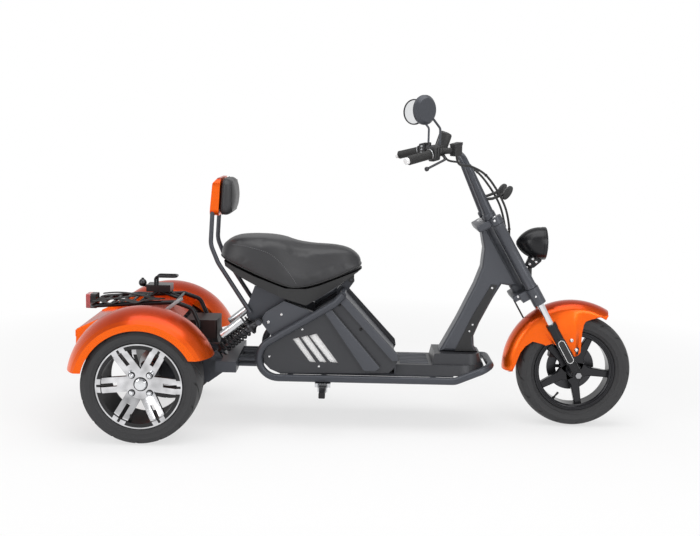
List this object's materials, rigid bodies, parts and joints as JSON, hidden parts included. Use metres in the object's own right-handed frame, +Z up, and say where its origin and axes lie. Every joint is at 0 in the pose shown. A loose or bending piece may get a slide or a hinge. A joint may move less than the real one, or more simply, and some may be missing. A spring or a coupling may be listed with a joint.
{
  "type": "three-wheeled electric scooter",
  "caption": "Low electric trike with a long seat, backrest, rear rack, wide deck, sprung front fork and swept handlebar with round mirrors.",
  "frame": {"origin": "on the ground at the middle of the whole object's plan", "axes": "+X forward along the trike, +Y to the rider's left, +Z up"},
  "size_m": [2.279, 0.862, 1.354],
  "materials": {
    "frame_paint": "satin dark grey-blue paint",
    "panel_paint": "satin dark grey-blue paint",
    "trim_black": "fine grained black plastic",
    "candy_paint": "glossy metallic orange paint",
    "rim_polish": "polished, with black pockets",
    "black_paint": "semi-gloss black paint",
    "tyre": "matt black rubber with tread",
    "grip_rubber": "ribbed black rubber",
    "pale_plastic": "glossy white plastic",
    "chrome": "mirror bright",
    "steel": "brushed",
    "alloy": "satin",
    "mirror": "silvered glass",
    "leather": "fine grained black leather, soft",
    "lamp_glass": "clear",
    "red_lens": "translucent red",
    "dark_red": "satin dark red-brown",
    "battery_case": "plain dark case"
  },
  "bodies": {
    "chassis": {"main_frame": "frame_paint", "belly_plate": "frame_paint", "body_shell": "panel_paint", "battery_pack": "battery_case", "side_panel_left": "panel_paint", "side_panel_right": "panel_paint", "vent_strips": "pale_plastic", "seat_covers": "panel_paint", "rear_brackets": "frame_paint", "rear_arm": "frame_paint", "drive_axle": "steel", "shocks": "black_paint", "shock_reservoirs": "alloy", "deck_pan": "panel_paint", "head_column": "panel_paint", "column_trim": "trim_black", "rear_fender_left": "candy_paint", "rear_fender_right": "candy_paint", "tail_panel": "candy_paint", "rear_rack": "black_paint", "tail_lamps": "red_lens", "controller_box": "dark_red", "backrest_frame": "frame_paint", "backrest_shell": "candy_paint", "backrest_pad": "leather", "peg_brackets": "frame_paint", "seat_hinge": "frame_paint"},
    "steering": {"fork_lowers": "black_paint", "fork_stanchions": "chrome", "fork_shrouds": "black_paint", "front_axle": "steel", "lower_yoke": "black_paint", "upper_yoke": "black_paint", "handlebar": "black_paint", "grips": "grip_rubber", "bar_ends": "pale_plastic", "bar_controls": "trim_black", "head_lamp": "black_paint", "head_lamp_lens": "lamp_glass", "lamp_post": "trim_black", "front_fender": "candy_paint", "brake_caliper": "alloy", "mirrors": "black_paint", "mirror_glass": "mirror", "display": "trim_black", "turn_signals": "trim_black"},
    "front_wheel": {"front_tyre": "tyre", "front_rim": "black_paint", "front_disc": "steel"},
    "rear_wheel_right": {"rear_tyre_right": "tyre", "rear_rim_right": "rim_polish", "rear_hub_right": "black_paint"},
    "rear_wheel_left": {"rear_tyre_left": "tyre", "rear_rim_left": "rim_polish", "rear_hub_left": "black_paint"},
    "seat": {"seat_cushion": "leather", "seat_base": "trim_black"},
    "footpeg_right": {"footpeg_right": "black_paint"},
    "footpeg_left": {"footpeg_left": "black_paint"}
  },
  "joints": [
    {"name": "steering_turn", "type": "hinge", "parent": "chassis", "child": "steering", "pos_m": [0.8625, 0, 0.2155], "axis": [-0.5, 0, 0.866], "range_deg": [-35, 35]},
    {"name": "front_wheel_spin", "type": "hinge", "parent": "steering", "child": "front_wheel", "pos_m": [0.9015, 0, 0.238], "axis": [0, 1, 0], "continuous": true},
    {"name": "rear_wheel_right_spin", "type": "hinge", "parent": "chassis", "child": "rear_wheel_right", "pos_m": [-0.8435, -0.315, 0.23], "axis": [0, 1, 0], "continuous": true},
    {"name": "rear_wheel_left_spin", "type": "hinge", "parent": "chassis", "child": "rear_wheel_left", "pos_m": [-0.8435, 0.315, 0.23], "axis": [0, 1, 0], "continuous": true},
    {"name": "seat_lift", "type": "hinge", "parent": "chassis", "child": "seat", "pos_m": [-0.0405, 0, 0.603], "axis": [0, 1, 0], "range_deg": [0, 60]},
    {"name": "footpeg_right_fold", "type": "hinge", "parent": "chassis", "child": "footpeg_right", "pos_m": [-0.1475, -0.19, 0.176], "axis": [-1, 0, 0], "range_deg": [0, 80]},
    {"name": "footpeg_left_fold", "type": "hinge", "parent": "chassis", "child": "footpeg_left", "pos_m": [-0.1475, 0.19, 0.176], "axis": [1, 0, 0], "range_deg": [0, 80]}
  ]
}
